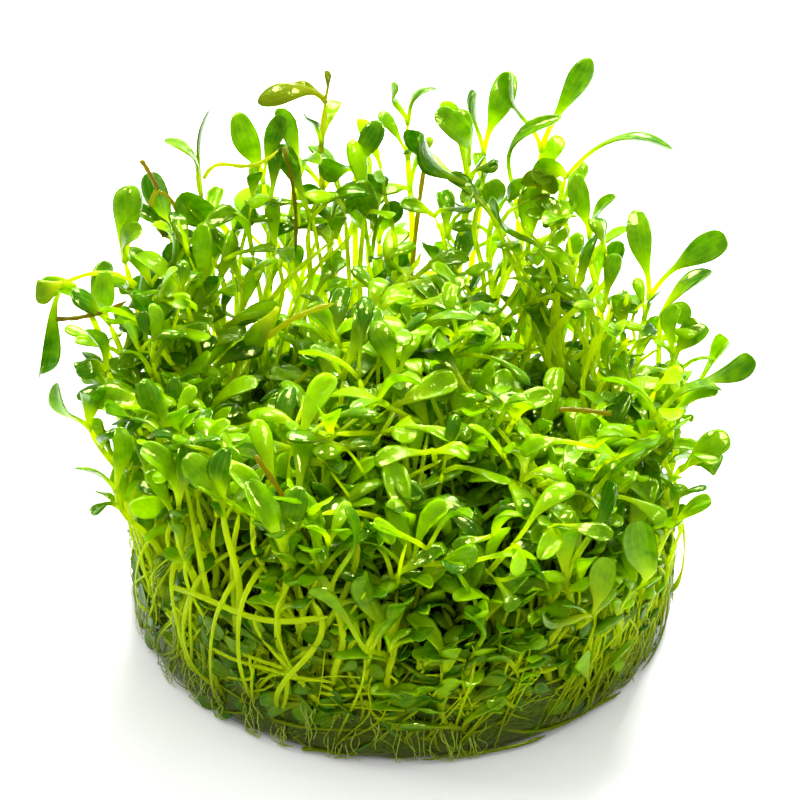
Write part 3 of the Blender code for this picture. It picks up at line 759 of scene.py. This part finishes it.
# Straying stems: long pale stems that lie over the leaf layer and across each
# other, each with a pair of leaves at its end.
STRAYS = 135
stray_rng = np.random.default_rng(85)
spots = sunflower(STRAYS, 23.0, 0.0, stray_rng, 1.0)
heads = spots + stray_rng.normal(size=(STRAYS, 2)) * 8.0
heads *= np.minimum(1.0, 25.5 / np.hypot(heads[:, :1], heads[:, 1:]))
foot = np.column_stack([spots, np.maximum(canopy(spots[:, 0], spots[:, 1]) - 8.0, 7.5)])
height = np.maximum(canopy(heads[:, 0], heads[:, 1]), 11.0) + stray_rng.uniform(0.0, 5.0, STRAYS)
top = np.column_stack([heads, height])
bend = foot * 0.5 + top * 0.5 + UP * stray_rng.uniform(0.0, 5.0, (STRAYS, 1))
path = cubic(foot, foot + (bend - foot) * 2 / 3, top + (bend - top) * 2 / 3, top, np.linspace(0.0, 1.0, 12))
thick = np.linspace(1.1, 0.75, 12)[None, :] * stray_rng.uniform(0.18, 0.38, (STRAYS, 1))
grids = [stem_grid(path, thick, stray_rng.random(STRAYS))]
turn = np.arctan2(top[:, 1] - foot[:, 1], top[:, 0] - foot[:, 0])
for side in (-0.8, 0.8):
    grids.append(side_leaves(path, np.ones(STRAYS), turn + side + stray_rng.normal(size=STRAYS) * 0.4,
                             stray_rng.uniform(-0.2, 1.0, STRAYS), stray_rng.uniform(3.5, 8.5, STRAYS),
                             stray_rng.uniform(1.5, 3.1, STRAYS), stray_rng, (0.0, 0.5)))
joined("straying_stems", grids, plant)

# Front curtain: the long bare stems at the left front that fan up from ten
# bundles at the agar's edge to the leaf layer, in curves that cross each other.
# A runner lies across them.
CURTAIN = 80
# Bundles: bearing in degrees and height of their feet
BUNDLES = np.array([(192, 6.0), (203, 5.0), (212, 3.0), (221, 4.5), (229, 2.5), (237, 4.0), (244, 2.0),
                    (251, 5.5), (258, 3.0), (266, 4.5)])
curtain_rng = np.random.default_rng(91)
bundle = BUNDLES[np.arange(CURTAIN) % len(BUNDLES)]
foot_bearing = bundle[:, 0] + curtain_rng.normal(size=CURTAIN) * 1.2
foot = polar(foot_bearing, curtain_rng.uniform(26.2, 28.0, CURTAIN),
             bundle[:, 1] + curtain_rng.normal(size=CURTAIN) * 1.0)
top = polar(foot_bearing + curtain_rng.uniform(-20, 14, CURTAIN), curtain_rng.uniform(22.5, 28.8, CURTAIN),
            curtain_rng.uniform(15.0, 26.0, CURTAIN))
belly = curtain_rng.normal(size=(CURTAIN, 2, 3)) * np.array([4.6, 3.4, 0.0])
path = cubic(foot, foot + (top - foot) * 0.35 + belly[:, 0], foot + (top - foot) * 0.7 + belly[:, 1], top,
             np.linspace(0.0, 1.0, 18))
thick = np.linspace(0.85, 1.05, 18)[None, :] * curtain_rng.uniform(0.17, 0.34, (CURTAIN, 1))
runner_bearing = np.linspace(216, 255, 18)
runner_height = np.linspace(13.5, 18.0, 18) + 0.5 * np.sin(np.linspace(0.0, 7.0, 18))
runner = polar(runner_bearing, np.full(18, 28.6), runner_height)[None]
joined("front_curtain_stems", [stem_grid(path, thick, curtain_rng.random(CURTAIN)),
                               stem_grid(runner, np.full((1, 18), 0.34))], plant)

# Pad tangle: creeping stems and young roots that wrap the edge of the agar in
# loops and hang down over it, lime where they are fresh.
TANGLE = 300
tangle_rng = np.random.default_rng(93)
steps = np.linspace(0.0, 1.0, 16)
bearing = tangle_rng.uniform(0, 360, (TANGLE, 1))
reach = tangle_rng.normal(size=(TANGLE, 1)) * tangle_rng.choice([6.0, 14.0, 28.0], (TANGLE, 1))
wave = tangle_rng.uniform(2.0, 8.0, (TANGLE, 1))
phase = tangle_rng.random((TANGLE, 1)) * 2 * np.pi
drop = tangle_rng.uniform(1.0, 12.0, (TANGLE, 1)) * tangle_rng.choice([0.15, 1.0], (TANGLE, 1))
height = tangle_rng.uniform(1.0, 12.0, (TANGLE, 1)) - drop * steps + 0.7 * np.sin(wave * steps + phase)
# Creepers level off where they meet the bench: h' = low + (h - low + sqrt((h - low)^2 + s)) / 2
height = 0.5 + 0.5 * (height - 0.5 + np.sqrt((height - 0.5) ** 2 + 0.8))
bearing = bearing + reach * (steps - 0.5) + 2.2 * np.sin(1.3 * wave * steps + phase)
radius = tangle_rng.uniform(26.9, 28.1, (TANGLE, 1)) + 0.3 * np.sin(2.3 * wave * steps + phase)
path = polar(bearing, radius, height)
thick = tangle_rng.uniform(0.06, 0.22, (TANGLE, 1)) * np.ones(16)
grids = [stem_grid(path, thick, tangle_rng.random(TANGLE), sides=5)]
# Fine stems that sweep down the agar's side in loose locks, most at the right front.
# Each is drawn to its lock's bearing halfway down, and then swept along the side.
STRANDS = 130
LOCK_SPACING = 5.0
first_bearing = np.where(tangle_rng.random((STRANDS, 1)) < 0.55, tangle_rng.uniform(312, 356, (STRANDS, 1)),
                         tangle_rng.uniform(0, 312, (STRANDS, 1)))
lock = np.round(first_bearing / LOCK_SPACING) * LOCK_SPACING
steps = np.linspace(0.0, 1.0, 14)
sweep = tangle_rng.uniform(2.0, 16.0, (STRANDS, 1))
wave = tangle_rng.uniform(4.0, 12.0, (STRANDS, 1))
swing = 2.2 * np.sin(wave * steps) * tangle_rng.normal(size=(STRANDS, 1))
drawn = 0.7 * (lock - first_bearing) * np.sin(np.pi * steps)
bearing = first_bearing + swing + drawn - sweep * steps ** 1.5
height = tangle_rng.uniform(8.0, 17.0, (STRANDS, 1)) * (1.0 - steps)
height = height + tangle_rng.uniform(0.7, 3.5, (STRANDS, 1)) * steps
swell = 0.3 * np.sin(wave * steps) * tangle_rng.normal(size=(STRANDS, 1))
radius = 26.2 + 2.1 * np.minimum(3.5 * steps, 1.0) + swell
thick = tangle_rng.uniform(0.05, 0.19, (STRANDS, 1)) * np.ones(14)
grids.append(stem_grid(polar(bearing, radius, height), thick, tangle_rng.random(STRANDS), sides=5))
joined("pad_tangle", grids, plant)

# Sunken leaves: dark leaves, with painted shade over their own darker tone, that lie
# against the agar's side, in its skin and between the stems that hang over it, along the front.
SUNKEN = 260
sunken_rng = np.random.default_rng(99)
bearing = sunken_rng.uniform(182, 356, SUNKEN)
start = polar(bearing, sunken_rng.uniform(25.6, 27.4, SUNKEN), sunken_rng.uniform(2.0, 13.0, SUNKEN))
turn = sunken_rng.uniform(4.0, 12.0, SUNKEN) * sunken_rng.choice([-1.0, 1.0], SUNKEN)
tip = polar(bearing + turn, sunken_rng.uniform(26.6, 28.5, SUNKEN),
            np.maximum(start[:, 2] + sunken_rng.uniform(-3.0, 4.0, SUNKEN), 0.8))
outward = unit(start * np.array([1.0, 1.0, 0.0]))
face = unit(outward + 0.4 * sunken_rng.normal(size=(SUNKEN, 3)))
grids = [leaf_grid(start, unit(tip - start + outward), tip, sunken_rng.uniform(1.2, 2.7, SUNKEN), face,
                   sunken_rng.uniform(0.0, 0.3, SUNKEN), sunken_rng,
                   tone=sunken_rng.uniform(0.0, 0.5, SUNKEN), shade=sunken_rng.uniform(0.1, 0.6, SUNKEN))]
joined("sunken_leaves", grids, plant)

# Young roots: hair-thin and pale, hanging in tufts from the feet of the stems
# down the side of the gel, each curling its own way.
ROOTS_PER_TUFT = 7
ROOT_STEPS = 14
# Young root skin: pale straw green and softly shiny, with half the light going through.
root_skin = bpy.data.materials.new("young_root_hair")
root_skin.use_nodes = True
root_tree = root_skin.node_tree
root_shader = root_tree.nodes["Principled BSDF"]
root_shader.inputs["Base Color"].default_value = to_linear("#a8c030")
root_shader.inputs["Roughness"].default_value = 0.35
root_glow = add_node(root_tree, "ShaderNodeBsdfTranslucent", [], [("Color", to_linear("#b4c840"))])
root_mix = add_node(root_tree, "ShaderNodeMixShader", [], [("Fac", 0.5)])
root_tree.links.new(root_shader.outputs["BSDF"], root_mix.inputs[1])
root_tree.links.new(root_glow.outputs["BSDF"], root_mix.inputs[2])
root_tree.links.new(root_mix.outputs["Shader"], root_tree.nodes["Material Output"].inputs["Surface"])
root_rng = np.random.default_rng(95)
tufts = np.concatenate([BUNDLES, BUNDLES[:4] + np.array([4.0, 7.0]),
                        np.column_stack([root_rng.uniform(0, 360, 14), root_rng.uniform(3.0, 9.0, 14)])])
tuft = np.repeat(tufts, ROOTS_PER_TUFT, axis=0)
count = len(tuft)
t = np.linspace(0.0, 1.0, ROOT_STEPS)
curl = root_rng.uniform(4.0, 11.0, (count, 1))
phase = root_rng.random((count, 1)) * 2 * np.pi
sway = root_rng.uniform(0.2, 1.4, (count, 1)) * np.sin(curl * t + phase)
bearing = tuft[:, :1] + root_rng.normal(size=(count, 1)) * (2.2 - 3.0 * t * (1.0 - t)) + sway
height = tuft[:, 1:] + 2.0 - root_rng.uniform(4.0, 12.0, (count, 1)) * t ** 0.8
radius = (26.0 + 2.2 * np.minimum(4.0 * t, 1.0) + root_rng.uniform(-0.2, 0.4, (count, 1))
          + 0.25 * np.sin(0.7 * curl * t))
height = 0.3 + 0.5 * (height - 0.3 + np.sqrt((height - 0.3) ** 2 + 0.6))
path = polar(bearing, radius, height)
thick = np.linspace(1.0, 0.6, ROOT_STEPS)[None, :] * root_rng.uniform(0.04, 0.10, (count, 1))
joined("young_roots", [stem_grid(path, thick, sides=4)], root_skin)

# Old growth: the few dead and dying bits, brown stems, olive curled leaves and
# two wet green buds, that stand out of the fresh growth.
# Each stem: age, radius, and points in millimetres. The last is a fresh runner that
# loops down over the right side of the agar.
OLD_STEMS = (
    (0.85, 0.24, (-26.8, 18.5, 41.4), (-26.2, 18.5, 40.3), (-25.7, 18.5, 39.2), (-25.2, 18.5, 37.8)),
    (0.6, 0.26, (-25.2, 18.5, 37.8), (-26.6, 18.5, 36.2), (-26.2, 18.5, 33.6), (-24.2, 18.5, 31.7)),
    (0.7, 0.22, (-25.0, 18.5, 37.5), (-23.0, 18.5, 36.8), (-23.2, 18.5, 33.2), (-22.0, 18.5, 28.2)),
    (0.35, 0.22, (-20.4, 18, 39.6), (-18.6, 18, 43.6), (-16.6, 18, 38.6), (-12.8, 19, 42.3)),
    (0.9, 0.24, (-35.2, 5, 31.0), (-33.3, 5, 31.0), (-30.7, 5, 31.4), (-28.0, 5, 33.2)),
    (0.8, 0.20, (-12.2, 20, 42.0), (-11.4, 20, 38.3), (-10.9, 20, 35.2), (-11.2, 20, 29.0)),
    (0.8, 0.26, (-14.2, -22, 33.8), (-12.8, -22, 31.3), (-11.0, -22, 27.9), (-9.1, -22.5, 23.0)),
    (0.5, 0.30, (-13.7, 4, 29.5), (-11.9, 4, 31.4), (-10.1, 4, 32.7), (-7.0, 5, 32.9)),
    (0.8, 0.26, (15.6, -5, 26.9), (17.2, -5, 27.2), (19.0, -5, 26.7), (21.0, -5, 26.4)),
    (0.7, 0.26, (2.6, 26, 38.8), (1.9, 26, 33.4), (1.4, 26, 28.4), (0.8, 26.5, 20.0)),
    (0.2, 0.22, (-27.0, 6, 34.6), (-29.6, 6, 37.0), (-32.1, 6, 36.0), (-34.6, 6, 34.6)),
    (0.0, 0.42, (28.3, -4, 13.5), (31.0, -4, 10.0), (31.0, -4, 5.0), (27.4, -4, 2.8)),
)
# Each leaf: age, width, and start, tip and upper side
OLD_LEAVES = (
    (0.6, 1.5, (-26.4, 18.5, 35.7), (-24.6, 18.5, 32.0), (0.8, -0.6, 0.4)),
    (0.5, 1.5, (-23.4, 18.5, 34.6), (-23.2, 18.5, 31.2), (-0.4, -0.8, 0.4)),
    (0.2, 2.8, (-34.4, 6, 34.8), (-37.2, 5.5, 33.6), (0.0, -0.8, 0.6)),
    (0.25, 2.2, (-12.6, 3.5, 33.5), (-15.2, 2.5, 29.5), (-0.3, -0.7, 0.5)),
    (0.5, 1.6, (-8.0, 28, 43.0), (-11.5, 27, 45.2), (0.0, -0.6, 0.8)),
    (0.35, 2.6, (13.8, 24.5, 34.0), (13.2, 22.5, 37.6), (0.0, -0.8, 0.5)),
    (0.35, 2.6, (13.8, 24.5, 34.0), (15.6, 22.3, 37.0), (0.3, -0.8, 0.5)),
    (0.30, 2.8, (14.6, 24.5, 33.0), (15.2, 22.0, 34.4), (0.0, -0.9, 0.3)),
    (0.30, 2.8, (14.8, 24.5, 31.5), (15.8, 21.8, 32.2), (0.0, -0.9, 0.3)),
)
old_rng = np.random.default_rng(97)
ages = np.array([stem[0] for stem in OLD_STEMS])
corners = np.array([stem[2:] for stem in OLD_STEMS], float)
path = cubic(corners[:, 0], corners[:, 1], corners[:, 2], corners[:, 3], np.linspace(0.0, 1.0, 16))
knots = 1.0 + 0.15 * np.sin(np.linspace(0.0, 25.0, 16))[None, :]
thick = knots * np.array([stem[1] for stem in OLD_STEMS])[:, None]
start, tip, face = (np.array([leaf[place] for leaf in OLD_LEAVES], float) for place in (2, 3, 4))
leaf_ages = np.array([leaf[0] for leaf in OLD_LEAVES])
widths = np.array([leaf[1] for leaf in OLD_LEAVES])
grids = [stem_grid(path, thick, 0.3, age=ages, sides=8),
         leaf_grid(start, unit(tip - start), tip, widths, unit(face), 0.35, old_rng, tone=0.3, age=leaf_ages,
                   stations=FINE_STATIONS, sides=12)]
joined("old_growth", grids, plant, spread=30.0)
